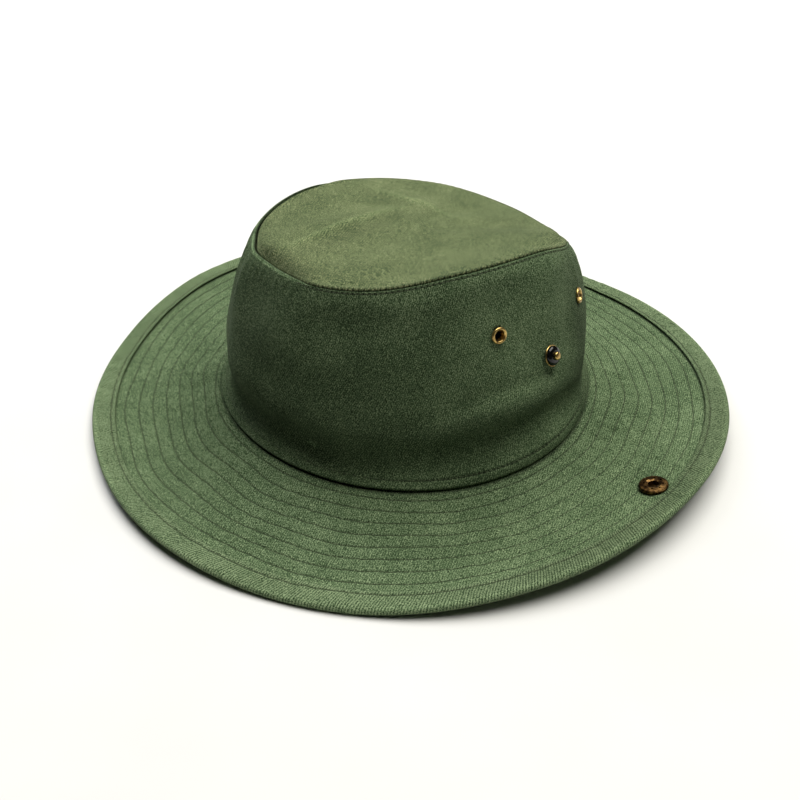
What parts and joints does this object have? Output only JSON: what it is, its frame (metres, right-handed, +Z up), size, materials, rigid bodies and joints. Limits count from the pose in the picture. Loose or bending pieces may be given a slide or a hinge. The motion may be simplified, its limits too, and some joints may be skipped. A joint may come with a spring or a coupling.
{
  "type": "outback hat",
  "caption": "Wide-brim cotton twill outback hat with an oval flat-topped crown, vent eyelets and a snap that holds one side of the brim up.",
  "frame": {"origin": "On the floor that the hat rests on, below the middle of the head opening.", "axes": "+Z up; the front of the hat faces -Y; the wearer's left side, with the snap, faces +X."},
  "size_m": [0.3312, 0.3302, 0.1067],
  "materials": {
    "green_twill": "matt cotton twill",
    "brass": "polished",
    "aged_brass": "darkened",
    "black_lacquer": "gloss"
  },
  "bodies": {
    "root": {"crown_side": "green_twill", "crown_tip": "green_twill", "brim": "green_twill", "brim_binding": "green_twill", "eyelet_front": "brass", "eyelet_rear": "brass", "stud_post": "brass", "stud_collar": "black_lacquer", "snap_socket": "aged_brass"}
  },
  "joints": []
}
